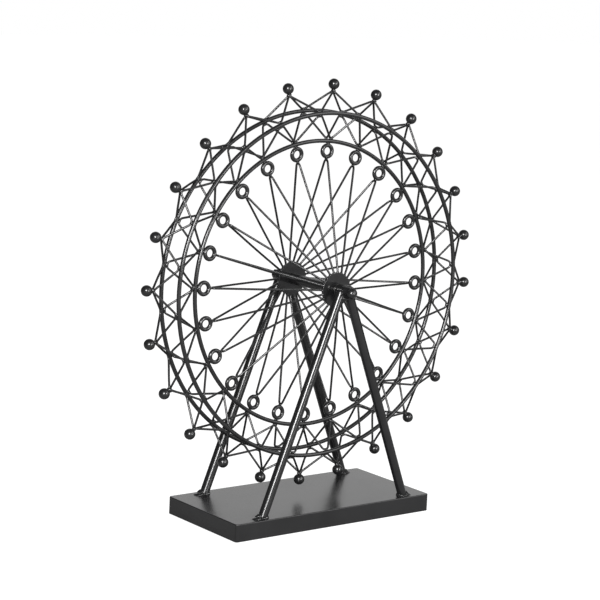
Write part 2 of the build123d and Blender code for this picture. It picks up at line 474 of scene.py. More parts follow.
def wire_tree():
    """Turns polylines into round wire: bends their corners, bows them and gives them thickness."""
    tree, given = new_tree(
        "Wire along paths",
        "GeometryNodeTree",
        [
            ("Paths", "Geometry", None),
            ("Wire Diameter", "Float", 0.0016),
            ("Sides", "Int", 12),
            ("Step Length", "Float", 0.0012),
            ("Bow", "Float", 0.0),
            ("Bow Scale", "Float", 30.0),
            ("Free Spans", "Float", 1.0),
            ("Seed", "Float", 0.0),
            ("Paint", "Material", None),
        ],
        [("Wires", "Geometry")],
    )
    curve = put(tree, "GeometryNodeMeshToCurve", {"Mesh": given["Paths"]}).outputs["Curve"]
    bend = stored(tree, "bend", "FLOAT")
    bent = put(
        tree,
        "GeometryNodeFilletCurve",
        {"Curve": curve, "Count": 7, "Radius": bend, "Limit Radius": True},
        mode="POLY",
    )
    even = put(
        tree,
        "GeometryNodeResampleCurve",
        {"Curve": bent.outputs["Curve"], "Length": given["Step Length"]},
        mode="LENGTH",
    )
    place = put(tree, "GeometryNodeSplineParameter", {}).outputs["Factor"]
    turn = maths(tree, "MULTIPLY", maths(tree, "MULTIPLY", place, given["Free Spans"]), pi)
    freedom = maths(tree, "ABSOLUTE", maths(tree, "SINE", turn))
    amount = maths(tree, "MULTIPLY", freedom, given["Bow"])
    stray = soft_noise(tree, given["Bow Scale"], given["Seed"])
    bowed = moved(tree, even.outputs["Curve"], vector_maths(tree, "SCALE", stray, amount))
    section = put(
        tree,
        "GeometryNodeCurvePrimitiveCircle",
        {
            "Resolution": given["Sides"],
            "Radius": maths(tree, "MULTIPLY", given["Wire Diameter"], 0.5),
        },
        mode="RADIUS",
    )
    tube = put(
        tree,
        "GeometryNodeCurveToMesh",
        {"Curve": bowed, "Profile Curve": section.outputs["Curve"], "Fill Caps": True},
    )
    return close_geometry(tree, tube.outputs["Mesh"], given["Paint"], "Wires")


def close_geometry(tree, socket, material, result):
    """End a geometry tree: plain mesh, smooth shading, one material."""
    real = put(tree, "GeometryNodeRealizeInstances", {"Geometry": socket})
    smooth = put(tree, "GeometryNodeSetShadeSmooth", {"Geometry": real.outputs["Geometry"]})
    painted = put(
        tree,
        "GeometryNodeSetMaterial",
        {"Geometry": smooth.outputs["Geometry"], "Material": material},
    )
    return finish_tree(tree, {result: painted.outputs["Geometry"]})


def copies_tree():
    """Sets copies of a piece at places, each turned and stretched a little in its own way."""
    tree, given = new_tree(
        "Copies at places",
        "GeometryNodeTree",
        [
            ("Places", "Geometry", None),
            ("Piece", "Object", None),
            ("Turn Spread", "Float", 0.0),
            ("Size Spread", "Float", 0.0),
            ("Lumpiness", "Float", 0.0),
            ("Lump Scale", "Float", 700.0),
            ("Seed", "Int", 0),
            ("Paint", "Material", None),
        ],
        [("Copies", "Geometry")],
    )
    piece = put(
        tree, "GeometryNodeObjectInfo", {"Object": given["Piece"]}, transform_space="ORIGINAL"
    )
    chance = put(
        tree,
        "FunctionNodeRandomValue",
        {0: (-1.0, -1.0, -1.0), 1: (1.0, 1.0, 1.0), "Seed": given["Seed"]},
        data_type="FLOAT_VECTOR",
    ).outputs[0]
    tilt = vector_maths(tree, "SCALE", chance, given["Turn Spread"])
    own_turn = put(tree, "FunctionNodeEulerToRotation", {0: tilt}).outputs[0]
    turn = stored(tree, "turn", "FLOAT_VECTOR")
    main_turn = put(tree, "FunctionNodeEulerToRotation", {0: turn}).outputs[0]
    rotation = put(
        tree, "FunctionNodeRotateRotation", {0: main_turn, 1: own_turn}, rotation_space="LOCAL"
    ).outputs[0]
    swell = vector_maths(tree, "SCALE", chance, given["Size Spread"])
    factor = vector_maths(tree, "ADD", swell, (1.0, 1.0, 1.0))
    stretch = vector_maths(tree, "MULTIPLY", factor, stored(tree, "size", "FLOAT_VECTOR"))
    copies = lumpy_copies(
        tree,
        given["Places"],
        piece.outputs["Geometry"],
        rotation,
        stretch,
        (given["Lump Scale"], 0.0, given["Lumpiness"]),
    )
    return close_geometry(tree, copies, given["Paint"], "Copies")


def bead_tree():
    """Lays a weld bead along paths: overlapping ripples, like a row of small coins."""
    tree, given = new_tree(
        "Weld bead along paths",
        "GeometryNodeTree",
        [
            ("Paths", "Geometry", None),
            ("Thickness", "Float", 0.0026),
            ("Pitch", "Float", 0.0011),
            ("Spread", "Float", 0.18),
            ("Lumpiness", "Float", 0.0003),
            ("Seed", "Int", 0),
            ("Paint", "Material", None),
        ],
        [("Bead", "Geometry")],
    )
    curve = put(tree, "GeometryNodeMeshToCurve", {"Mesh": given["Paths"]}).outputs["Curve"]
    points = put(
        tree, "GeometryNodeCurveToPoints", {"Curve": curve, "Length": given["Pitch"]}, mode="LENGTH"
    )
    radius = maths(tree, "MULTIPLY", given["Thickness"], 0.5)
    ripple = put(
        tree, "GeometryNodeMeshUVSphere", {"Segments": 10, "Rings": 6, "Radius": radius}
    )
    chance = put(
        tree,
        "FunctionNodeRandomValue",
        {
            2: maths(tree, "SUBTRACT", 1.0, given["Spread"]),
            3: maths(tree, "ADD", 1.0, given["Spread"]),
            "Seed": given["Seed"],
        },
        data_type="FLOAT",
    ).outputs[1]
    squeeze = put(tree, "ShaderNodeCombineXYZ", {"X": chance, "Y": chance, "Z": 0.6})
    bead = lumpy_copies(
        tree,
        points.outputs["Points"],
        ripple.outputs["Mesh"],
        points.outputs["Rotation"],
        squeeze.outputs[0],
        (500.0, 1.0, given["Lumpiness"]),
    )
    return close_geometry(tree, bead, given["Paint"], "Bead")


def tree_named(name, build):
    """A node tree by name, built the first time it is asked for."""
    return bpy.data.node_groups.get(name) or build()


def grow(name, tree, source, values):
    """Run a geometry tree over a mesh of paths or places, and keep the result as a plain mesh."""
    piece = bpy.data.objects.new(name, source)
    bpy.context.scene.collection.objects.link(piece)
    modifier = piece.modifiers.new(tree.name, "NODES")
    modifier.node_group = tree
    for item in tree.interface.items_tree:
        if item.in_out == "INPUT" and item.name in values:
            modifier[item.identifier] = values[item.name]
    depsgraph = bpy.context.evaluated_depsgraph_get()
    mesh = bpy.data.meshes.new_from_object(piece.evaluated_get(depsgraph))
    piece.modifiers.remove(modifier)
    piece.data = mesh
    mesh.name = name
    if not mesh.polygons:
        raise RuntimeError(f"{name} came out empty")
    return piece


# ---------------------------------------------------------------- paths, places and turned pieces
def path_mesh(name, paths, closed=False):
    """Polylines as a mesh of edges; each path is a list of (point, bend radius)."""
    points = []
    edges = []
    bends = []
    for path in paths:
        first = len(points)
        for point, bend in path:
            points.append(point)
            bends.append(bend)
        edges += [(first + k, first + k + 1) for k in range(len(path) - 1)]
        if closed:
            edges.append((len(points) - 1, first))
    mesh = bpy.data.meshes.new(name)
    mesh.from_pydata(points, edges, [])
    attribute = mesh.attributes.new("bend", "FLOAT", "POINT")
    attribute.data.foreach_set("value", bends)
    return mesh


def place_mesh(name, places):
    """Places as a mesh of points; each place is (point, turn, size)."""
    mesh = bpy.data.meshes.new(name)
    mesh.from_pydata([point for point, turn, size in places], [], [])
    for label, column in (("turn", 1), ("size", 2)):
        attribute = mesh.attributes.new(label, "FLOAT_VECTOR", "POINT")
        values = [number for place in places for number in place[column]]
        attribute.data.foreach_set("vector", values)
    return mesh


def lathe(name, outline, sides, closed=False):
    """A mesh turned about Z from (radius, height) points; an open outline ends on the axis."""
    shape = bmesh.new()
    rows = []
    for radius, height in outline:
        if radius < 1e-7:
            rows.append([shape.verts.new((0, 0, height))] * sides)
        else:
            turns = [2 * pi * k / sides for k in range(sides)]
            rows.append(
                [shape.verts.new((radius * cos(t), radius * sin(t), height)) for t in turns]
            )
    pairs = list(zip(rows, rows[1:]))
    if closed:
        pairs.append((rows[-1], rows[0]))
    for row, next_row in pairs:
        for k in range(sides):
            corners = (row[k], row[(k + 1) % sides], next_row[(k + 1) % sides], next_row[k])
            shape.faces.new(dict.fromkeys(corners))
    bmesh.ops.recalc_face_normals(shape, faces=shape.faces)
    mesh = bpy.data.meshes.new(name)
    shape.to_mesh(mesh)
    shape.free()
    mesh.shade_smooth()
    return mesh


def arc_points(centre, radius, start, end, count):
    """Points of an arc in the plane of an outline, angles in radians from the radius axis."""
    angles = [start + (end - start) * k / count for k in range(count + 1)]
    return [(centre[0] + radius * cos(a), centre[1] + radius * sin(a)) for a in angles]


def pattern_object(mesh):
    """An object that lends its shape to copies and is removed after."""
    return bpy.data.objects.new(mesh.name, mesh)


def settle(piece, body, slot, *nodes):
    """A finished piece rides on its body and stands for nodes, which are hidden. Its slot is not
    used.
    """
    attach(piece, body)
    if nodes:
        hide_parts(*nodes)


def dress(material, *nodes):
    """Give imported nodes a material."""
    for node in nodes:
        piece = frame["nodes"][node]
        piece.data.materials.clear()
        piece.data.materials.append(material)


# ---------------------------------------------------------------- materials
def paint_group():
    """Sprayed paint: blotches, fine grain and a skin like orange peel."""
    tree, given = new_tree(
        "Paint film",
        "ShaderNodeTree",
        [
            ("Deep", "Color", (0.02, 0.02, 0.02, 1.0)),
            ("Dull", "Color", (0.04, 0.04, 0.04, 1.0)),
            ("Roughness", "Float", 0.35),
            ("Roughness Spread", "Float", 0.12),
            ("Blotch Scale", "Float", 40.0),
            ("Grain Scale", "Float", 2600.0),
            ("Peel Scale", "Float", 520.0),
            ("Grain Height", "Float", 0.1),
        ],
        [
            ("Color", "Color"),
            ("Roughness", "Float"),
            ("Height", "Float"),
        ],
    )
    place = object_place(tree)
    blotch = noise(tree, place, given["Blotch Scale"], Detail=5.0, Roughness=0.6)
    grain = noise(tree, place, given["Grain Scale"], Detail=2.0)
    peel = noise(tree, place, given["Peel Scale"], Detail=1.0)
    both = maths(tree, "MULTIPLY", blotch, grain)
    dull = put(
        tree, "ShaderNodeMapRange", {"Value": both, "From Min": 0.12, "From Max": 0.42}
    ).outputs["Result"]
    centred = maths(tree, "SUBTRACT", blotch, 0.5)
    spread = maths(tree, "MULTIPLY", centred, given["Roughness Spread"])
    fine = maths(tree, "MULTIPLY", grain, given["Grain Height"])
    return finish_tree(
        tree,
        {
            "Color": mix_colours(tree, dull, given["Deep"], given["Dull"]),
            "Roughness": maths(tree, "ADD", spread, given["Roughness"]),
            "Height": maths(tree, "ADD", peel, fine),
        },
    )


def new_material(name):
    """An empty node material; returns it with its shader."""
    material = bpy.data.materials.new(name)
    material.use_nodes = True
    return material, material.node_tree.nodes["Principled BSDF"]


def painted(name, gloss, roughness, spread, peel_scale, bump_height, blotch_scale=40.0):
    """A black paint of a certain gloss, from the shared paint film."""
    finishes = bpy.context.scene.wheel_finishes
    material, shader = new_material(name)
    tree = material.node_tree
    film = put(
        tree,
        "ShaderNodeGroup",
        {
            "Deep": (*finishes.paint, 1.0),
            "Dull": (*finishes.paint_high, 1.0),
            "Roughness": roughness,
            "Roughness Spread": spread,
            "Blotch Scale": blotch_scale,
            "Peel Scale": peel_scale,
        },
        node_tree=tree_named("Paint film", paint_group),
    ).outputs
    feed(
        shader,
        {
            "Base Color": film["Color"],
            "Roughness": film["Roughness"],
            "Specular IOR Level": gloss,
            "Normal": bumped(tree, film["Height"], 0.5, bump_height),
        },
    )
    return material


def wire_paint():
    """Semi-gloss paint on wire and bar."""
    return painted("Wire paint", 0.44, 0.19, 0.08, 240.0, 0.00004)


def weld_paint():
    """The same paint over weld beads, where it runs thick and shines."""
    return painted("Weld paint", 0.5, 0.16, 0.12, 380.0, 0.0003)


def base_paint():
    """Satin paint on the folded sheet of the base."""
    return painted("Base paint", 0.46, 0.25, 0.08, 300.0, 0.00004, 22.0)


def turned_steel():
    """Bare turned steel with fine tool marks around the axle."""
    finishes = bpy.context.scene.wheel_finishes
    material, shader = new_material("Turned steel")
    tree = material.node_tree
    stretched = put(
        tree, "ShaderNodeMapping", {"Vector": object_place(tree), "Scale": (20.0, 6000.0, 20.0)}
    ).outputs["Vector"]
    marks = noise(tree, stretched, 1.0, Detail=3.0)
    groove = (*[0.7 * c for c in finishes.steel], 1.0)
    feed(
        shader,
        {
            "Metallic": 1.0,
            "Base Color": mix_colours(tree, marks, groove, (*finishes.steel, 1.0)),
            "Roughness": ranged(tree, marks, 0.22, 0.42),
            "Normal": bumped(tree, marks, 0.4, 0.00003),
        },
    )
    return material


def pressed_felt():
    """Thin pressed felt: matted fibres and a soft sheen."""
    finishes = bpy.context.scene.wheel_finishes
    material, shader = new_material("Pressed felt")
    tree = material.node_tree
    fibres = noise(tree, object_place(tree), 900.0, Detail=6.0, Roughness=0.7, Distortion=2.5)
    gap = (*[0.5 * c for c in finishes.felt], 1.0)
    fibre = (*[1.6 * c for c in finishes.felt], 1.0)
    feed(
        shader,
        {
            "Base Color": mix_colours(tree, fibres, gap, fibre),
            "Roughness": 0.95,
            "Sheen Weight": 0.3,
            "Normal": bumped(tree, fibres, 0.8, 0.0004),
        },
    )
    return material


def material_named(name, build):
    """A material by name, built the first time it is asked for."""
    return bpy.data.materials.get(name) or build()


# ---------------------------------------------------------------- paths of the wheel's wires
def foot_side(ring_y, crown_radius, wire):
    """The way from a ring's middle to a lattice wire's foot: outwards, and along the axle."""
    crown_y = wire / 2 if ring_y > 0 else -wire / 2
    return Vector((crown_radius - outer_ring_radius, crown_y - ring_y)).normalized()


def crown_strays(node, crown_radius, sizes):
    """How far each crown of a lattice was welded on from its pod, as angles."""
    chance = Random(f"{node} {sizes.seed}")
    reach = sizes.inner_crown_stray if "inner" in node else sizes.outer_crown_stray
    return [chance.uniform(-reach, reach) / crown_radius for pod in range(pod_count)]


def lattice_path(step, ring_y, crown_radius, stray, sizes):
    """One bent wire: a foot along an outer ring half a step to each side of a pod, and a
    crown by the middle plane, nearly at the pod's own angle.
    """
    seat = (ring_wire + sizes.lattice_wire) / 2
    crown_y = sizes.lattice_wire / 2 if ring_y > 0 else -sizes.lattice_wire / 2
    across = foot_side(ring_y, crown_radius, sizes.lattice_wire)
    foot_radius = outer_ring_radius + across.x * seat
    foot_y = ring_y + across.y * seat
    start_angle = station_angle(step - 0.5)
    end_angle = station_angle(step + 0.5)
    start = wheel_point(foot_radius, start_angle, foot_y)
    end = wheel_point(foot_radius, end_angle, foot_y)
    crown = wheel_point(crown_radius, station_angle(step) + stray, crown_y)
    start_way = rim_direction(start_angle)
    end_way = rim_direction(end_angle)
    foot_turn = start_way.angle(crown - start)
    foot_run = sizes.foot_bend * tan(foot_turn / 2) + sizes.lattice_wire / 2
    start_knee = start + start_way * foot_run
    end_knee = end - end_way * foot_run
    reach = crown - (start_knee + end_knee) / 2
    half_angle = atan2((end_knee - start_knee).length / 2, reach.length)
    corner = crown + reach.normalized() * sizes.crown_bend * (1 / sin(half_angle) - 1)
    return [
        (start, 0.0),
        (start_knee, sizes.foot_bend),
        (corner, sizes.crown_bend),
        (end_knee, sizes.foot_bend),
        (end, 0.0),
    ]


def crown_radii(wire):
    """Where the crowns of the outer and of the inner lattices lie, pod by pod."""
    outer = [radial_reach(node)[0] - wire / 2 for node in ball_nodes]
    inner = radial_reach("inner_lattice_front")[0] + wire / 2
    return outer, [inner] * pod_count


def spoke_path(step, side, end_radius, crown_radius, sizes):
    """One spoke: straight from a hub disc, then bent in under the eyelet to the middle plane."""
    angle = station_angle(step)
    fall = atan2(hub_disc_y, crown_radius - end_radius)
    run = sizes.spoke_bend * tan((pi / 2 - fall) / 2) + sizes.spoke_wire / 4
    end = wheel_point(end_radius, angle, side * hub_disc_y)
    corner = wheel_point(crown_radius, angle, side * run)
    crown = wheel_point(crown_radius, angle, 0)
    return [(end, 0.0), (corner, sizes.spoke_bend), (crown, 0.0)]


def ring_path(radius, y, count):
    """A closed ring about the axle."""
    return [(wheel_point(radius, 2 * pi * k / count, y), 0.0) for k in range(count)]


def grow_wires(name, paths, thickness, slot, nodes, closed=False, **values):
    """Make wires along paths, and let them stand for nodes of the wheel."""
    sizes = bpy.context.scene.wheel_sizes
    settings = {
        "Wire Diameter": thickness,
        "Sides": sizes.wire_sides,
        "Seed": float(sizes.seed),
        "Paint": material_named("Wire paint", wire_paint),
    }
    settings.update(values)
    tree = tree_named("Wire along paths", wire_tree)
    piece = grow(name, tree, path_mesh(name, paths, closed), settings)
    settle(piece, "wheel", slot, *nodes)


def grow_copies(name, pattern, places, slot, nodes, body="wheel", **values):
    """Set copies of a pattern mesh at places, and let them stand for nodes."""
    sizes = bpy.context.scene.wheel_sizes
    shape = pattern_object(pattern)
    settings = {"Piece": shape, "Seed": sizes.seed}
    settings.update(values)
    tree = tree_named("Copies at places", copies_tree)
    piece = grow(name, tree, place_mesh(name, places), settings)
    bpy.data.objects.remove(shape)
    settle(piece, body, slot, *nodes)


def weld_pattern(rows, sides):
    """A round heap of weld with a half size of one, to be stretched where it is laid."""
    turns = [pi * k / rows for k in range(1, rows)]
    outline = [(0.0, 1.0), *[(sin(turn), cos(turn)) for turn in turns], (0.0, -1.0)]
    return lathe("weld", outline, sides)


def leg_line(leg):
    """The middle of a leg's foot on the base, and the way up along the leg."""
    corners = [vertex.co for vertex in frame["nodes"][leg].data.vertices]
    low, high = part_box(leg)
    foot_ring_points = [co for co in corners if co.z < low.z + 0.0002]
    foot = sum(foot_ring_points, Vector()) / len(foot_ring_points)
    foot.x = (min(co.x for co in foot_ring_points) + max(co.x for co in foot_ring_points)) / 2
    foot.y = (low.y + high.y) / 2
    side = -1 if foot.x < 0 else 1
    top = Vector((side * leg_radius, foot.y, axle_z))
    return foot, (top - foot).normalized()


def foot_ring(leg):
    """A weld bead's path around a leg's foot."""
    foot, rise = leg_line(leg)
    reach = leg_radius / rise.z
    turns = [2 * pi * k / 40 for k in range(40)]
    lift = Vector((0, 0, bead_lift))
    return [
        (foot + lift + Vector((reach * cos(t), leg_radius * sin(t), 0)), 0.0) for t in turns
    ]


def bearing_seam(leg):
    """A weld bead's path where a leg meets the bearing on top of it."""
    foot, rise = leg_line(leg)
    aside = Vector((rise.z, 0, -rise.x))
    path = []
    for turn in [2 * pi * k / 32 for k in range(32)]:
        start = foot + leg_radius * (cos(turn) * aside + Vector((0, sin(turn), 0)))
        away = start - Vector((0, start.y, axle_z))
        along = -away.dot(rise)
        nearest = (away + along * rise).length
        back = sqrt(max(bearing_radius**2 - nearest**2, 0.0))
        path.append((start + (along - back) * rise, 0.0))
    return path


# ---------------------------------------------------------------- operators: the wheel
class WHEEL_OT_rings(bpy.types.Operator):
    """Roll the two outer rings and the inner ring"""

    bl_idname = "wheel.rings"
    bl_label = "Rings"

    def execute(self, context):
        rings = (
            ("outer_ring_front", outer_ring_radius, -outer_ring_y),
            ("outer_ring_rear", outer_ring_radius, outer_ring_y),
            ("inner_ring", inner_ring_radius, 0.0),
        )
        for node, radius, y in rings:
            grow_wires(
                f"{node}_wire",
                [ring_path(radius, y, ring_steps)],
                ring_wire,
                "black_paint",
                [node],
                closed=True,
                **{"Sides": 20, "Step Length": 0.0028},
            )
        return {"FINISHED"}


class WHEEL_OT_lattices(bpy.types.Operator):
    """Bend the lattice wires between the rings and out to the balls"""

    bl_idname = "wheel.lattices"
    bl_label = "Lattices"

    def execute(self, context):
        sizes = context.scene.wheel_sizes
        outer_crowns, inner_crowns = crown_radii(sizes.lattice_wire)
        for node, ring_y, crowns in (
            ("outer_lattice_front", -outer_ring_y, outer_crowns),
            ("outer_lattice_rear", outer_ring_y, outer_crowns),
            ("inner_lattice_front", -outer_ring_y, inner_crowns),
            ("inner_lattice_rear", outer_ring_y, inner_crowns),
        ):
            strays = crown_strays(node, crowns[0], sizes)
            paths = [
                lattice_path(step, ring_y, crowns[step], strays[step], sizes)
                for step in range(pod_count)
            ]
            grow_wires(
                f"{node}_wires",
                paths,
                sizes.lattice_wire,
                "black_paint",
                [node],
                **{"Bow": sizes.wire_bow, "Bow Scale": 55.0, "Free Spans": 2.0},
            )
        return {"FINISHED"}


class WHEEL_OT_spokes(bpy.types.Operator):
    """Cut the spokes from the eyelets to the hub discs"""

    bl_idname = "wheel.spokes"
    bl_label = "Spokes"

    def execute(self, context):
        sizes = context.scene.wheel_sizes
        nearest, farthest = radial_reach("spokes_front")
        crown_radius = farthest - sizes.spoke_wire / 2
        end_radius = max(nearest, hub_disc_radius) + sizes.spoke_wire / 4
        for name, side in (("front", -1), ("rear", 1)):
            paths = [
                spoke_path(step, side, end_radius, crown_radius, sizes)
                for step in range(pod_count)
            ]
            grow_wires(
                f"spokes_{name}_wires",
                paths,
                sizes.spoke_wire,
                "black_paint",
                [f"spokes_{name}"],
                **{"Bow": 3 * sizes.wire_bow, "Bow Scale": 14.0, "Step Length": 0.0018},
            )
        return {"FINISHED"}


class WHEEL_OT_eyelets(bpy.types.Operator):
    """Curl the small wire rings inside the inner ring"""

    bl_idname = "wheel.eyelets"
    bl_label = "Eyelets"

    def execute(self, context):
        wire_radius = eyelet_wire / 2
        outline = arc_points((eyelet_outer_radius - wire_radius, 0.0), wire_radius, 0.0, 2 * pi, 14)
        pattern = lathe("eyelet", outline[:-1], 28, closed=True)
        pattern.transform(Matrix.Rotation(pi / 2, 4, "X"))
        places = [
            (
                wheel_point(eyelet_circle_radius, pod_angle(pod), 0),
                (0.0, pod_angle(pod), 0.0),
                (1.0, 1.0, 1.0),
            )
            for pod in range(pod_count)
        ]
        grow_copies(
            "eyelet_rings",
            pattern,
            places,
            "black_paint",
            ["eyelets"],
            **{
                "Turn Spread": radians(4.0),
                "Size Spread": 0.015,
                "Paint": material_named("Wire paint", wire_paint),
            },
        )
        return {"FINISHED"}


class WHEEL_OT_balls(bpy.types.Operator):
    """Turn the balls with the weld on their necks"""

    bl_idname = "wheel.balls"
    bl_label = "Balls"

    def execute(self, context):
        sizes = context.scene.wheel_sizes
        neck_radius = sizes.ball_neck / 2
        neck_end = radial_reach(ball_nodes[0])[0] - ball_distances[0]
        fillet_x = neck_radius + ball_fillet
        fillet_z = -sqrt((ball_radius + ball_fillet) ** 2 - fillet_x**2)
        lean = atan2(-fillet_z, fillet_x)
        sphere = arc_points((0.0, 0.0), ball_radius, pi / 2, -lean, 22)
        flare = arc_points((fillet_x, fillet_z), ball_fillet, pi - lean, pi, 5)
        outline = [(0.0, ball_radius)] + sphere[1:] + flare[1:]
        outline += [(neck_radius, neck_end), (0.0, neck_end)]
        pattern = lathe("ball", outline, 32)
        places = [
            (ball_centres[pod], (0.0, pod_angle(pod), 0.0), (1.0, 1.0, 1.0))
            for pod in range(pod_count)
        ]
        grow_copies(
            "steel_balls",
            pattern,
            places,
            "black_paint",
            ball_nodes,
            **{"Paint": material_named("Wire paint", wire_paint)},
        )
        return {"FINISHED"}


class WHEEL_OT_welds(bpy.types.Operator):
    """Lay the welds at every joint of the wheel"""

    bl_idname = "wheel.welds"
    bl_label = "Wheel welds"

    def execute(self, context):
        sizes = context.scene.wheel_sizes
        places = []

        def add(radius, angle, y, size):
            places.append((wheel_point(radius, angle, y), (0.0, angle, 0.0), tuple(size)))

        wire = sizes.lattice_wire
        seat = ring_wire / 2 + wire / 4
        outer_crowns, inner_crowns = crown_radii(wire)
        inner_crown = inner_crowns[0]
        for side in (-1, 1):
            ring_y = side * outer_ring_y
            where = "rear" if side > 0 else "front"
            strays = crown_strays(f"inner_lattice_{where}", inner_crown, sizes)
            for pod in range(pod_count):
                between = station_angle(pod + 0.5)
                for crown in (outer_crowns[pod], inner_crown):
                    across = foot_side(ring_y, crown, wire)
                    radius = outer_ring_radius + across.x * seat
                    add(radius, between, ring_y + across.y * seat, sizes.rim_weld)
                crown_angle = pod_angle(pod) + strays[pod]
                add(inner_ring_radius + seat, crown_angle, side * wire / 2, sizes.crown_weld)
                add(hub_disc_radius, pod_angle(pod), side * hub_disc_y, sizes.hub_weld)
        for pod, angle in enumerate(pod_angles):
            add(eyelet_reach[1], angle, 0.0, sizes.eyelet_weld)
            add(eyelet_reach[0], angle, 0.0, sizes.spoke_weld)
            add(outer_crowns[pod] + wire / 2, angle, 0.0, sizes.ball_weld)
        grow_copies(
            "wheel_welds",
            weld_pattern(6, 9),
            places,
            "black_paint",
            [],
            **{
                "Turn Spread": radians(14.0),
                "Size Spread": 0.16,
                "Lumpiness": sizes.weld_lumpiness,
                "Paint": material_named("Weld paint", weld_paint),
            },
        )
        return {"FINISHED"}


class WHEEL_OT_hub(bpy.types.Operator):
    """Paint the hub tube and its discs"""

    bl_idname = "wheel.hub"
    bl_label = "Hub"

    def execute(self, context):
        dress(
            material_named("Wire paint", wire_paint), "hub_tube", "hub_disc_front", "hub_disc_rear"
        )
        return {"FINISHED"}


# ---------------------------------------------------------------- operators: the stand
class WHEEL_OT_legs(bpy.types.Operator):
    """Paint the legs and lay the weld around their feet and their tops"""

    bl_idname = "wheel.legs"
    bl_label = "Legs"

    def execute(self, context):
        sizes = context.scene.stand_sizes
        legs = [name for name in frame["nodes"] if name.startswith("leg_")]
        dress(material_named("Wire paint", wire_paint), *legs)
        paths = [foot_ring(leg) for leg in legs] + [bearing_seam(leg) for leg in legs]
        paint = material_named("Weld paint", weld_paint)
        bead = grow(
            "stand_weld_beads",
            tree_named("Weld bead along paths", bead_tree),
            path_mesh("stand_weld_beads", paths, closed=True),
            {
                "Thickness": sizes.bead_thickness,
                "Pitch": sizes.bead_pitch,
                "Seed": sizes.seed,
                "Paint": paint,
            },
        )
        settle(bead, "stand", "black_paint")
        places = []
        for leg in legs:
            foot, rise = leg_line(leg)
            side = -1 if foot.x < 0 else 1
            size = Vector(sizes.left_foot_weld if side < 0 else sizes.right_foot_weld)
            outside = foot + Vector((side * leg_radius * heap_standoff, 0, 0))
            for aside, along, up, lean, twist, shares in heap_lumps:
                place = outside + Vector((side * size.x * aside, along, size.z * up))
                own_size = [half * share for half, share in zip(size, shares)]
                places.append((place, (0.0, side * lean, twist), own_size))
        grow_copies(
            "foot_weld_heaps",
            weld_pattern(12, 22),
            places,
            "black_paint",
            [],
            body="stand",
            **{
                "Size Spread": 0.08,
                "Lumpiness": 0.0012,
                "Lump Scale": 420.0,
                "Seed": sizes.seed,
                "Paint": paint,
            },
        )
        return {"FINISHED"}


class WHEEL_OT_bearings(bpy.types.Operator):
    """Finish the bearings, the axle, the washers and the cap nuts"""

    bl_idname = "wheel.bearings"
    bl_label = "Bearings and axle"

    def execute(self, context):
        dress(
            material_named("Wire paint", wire_paint),
            "bearing_front",
            "bearing_rear",
            "cap_nut_front",
            "cap_nut_rear",
        )
        dress(
            material_named("Turned steel", turned_steel),
            "axle",
            "thrust_washer_front",
            "thrust_washer_rear",
        )
        return {"FINISHED"}


class WHEEL_OT_base(bpy.types.Operator):
    """Finish the base's box, its plate and its felt"""

    bl_idname = "wheel.base"
    bl_label = "Base"

    def execute(self, context):
        dress(material_named("Base paint", base_paint), "base_shell", "base_plate")
        dress(material_named("Pressed felt", pressed_felt), "base_felt")
        return {"FINISHED"}


# ---------------------------------------------------------------- operators: the stage
def background_mask(tree, mirrored=1.0):
    """One for a ray from the camera, and a share for one off something glossy or clear."""
    path = put(tree, "ShaderNodeLightPath", {}).outputs
    bounced = maths(tree, "MAXIMUM", path["Is Glossy Ray"], path["Is Transmission Ray"])
    share = maths(tree, "MULTIPLY", bounced, mirrored)
    return maths(tree, "MAXIMUM", path["Is Camera Ray"], share)


def light_world(studio):
    """White to look at, plain soft light from all around."""
    world = bpy.data.worlds.new("Studio")
    bpy.context.scene.world = world
    world.use_nodes = True
    tree = world.node_tree
    tree.nodes.clear()
    strength = ranged(tree, background_mask(tree), studio.ambient, 1.0)
    feeds = {"Color": (*studio.background, 1.0), "Strength": strength}
    shade = put(tree, "ShaderNodeBackground", feeds)
    put(tree, "ShaderNodeOutputWorld", {"Surface": shade.outputs["Background"]})


def floor_material(studio):
    """A plain pale floor that is white to the camera and keeps a soft shadow."""
    material, shader = new_material("Studio floor")
    tree = material.node_tree
    specks = noise(tree, object_place(tree), 60.0, Detail=3.0)
    feed(
        shader,
        {
            "Base Color": (floor_tone, floor_tone, floor_tone, 1.0),
            "Specular IOR Level": 0.1,
            "Roughness": ranged(tree, specks, 0.85, 0.95),
        },
    )
    strength = ranged(tree, background_mask(tree, floor_mirrored), 0.0, floor_glow)
    feeds = {"Color": (*studio.background, 1.0), "Strength": strength}
    glow = put(tree, "ShaderNodeEmission", feeds)
    both = put(
        tree, "ShaderNodeAddShader", {0: shader.outputs["BSDF"], 1: glow.outputs["Emission"]}
    )
    feed(tree.nodes["Material Output"], {"Surface": both.outputs[0]})
    return material


def area_lamp(name, place, aim, size, power):
    """A soft rectangular lamp that points at a place."""
    lamp = bpy.data.lights.new(name, "AREA")
    lamp.shape = "RECTANGLE"
    lamp.size, lamp.size_y = size
    lamp.energy = power
    holder = bpy.data.objects.new(name, lamp)
    holder.location = place
    holder.rotation_euler = (Vector(aim) - Vector(place)).to_track_quat("-Z", "Y").to_euler()
    holder.visible_camera = False
    bpy.context.scene.collection.objects.link(holder)


def around(azimuth, distance, height):
    """A place around the object, from a compass angle in degrees."""
    turn = radians(azimuth)
    return Vector((distance * cos(turn), distance * sin(turn), height))


def grey_card(name, start, end):
    """A curved grey card beside the object, which only its gloss mirrors."""
    turns = [start + (end - start) * k / card_steps for k in range(card_steps + 1)]
    points = [around(turn, card_distance, z) for z in (0.0, card_height) for turn in turns]
    next_row = card_steps + 1
    faces = [(k, k + 1, k + next_row + 1, k + next_row) for k in range(card_steps)]
    mesh = bpy.data.meshes.new(name)
    mesh.from_pydata(points, [], faces)
    stage_card(mesh)


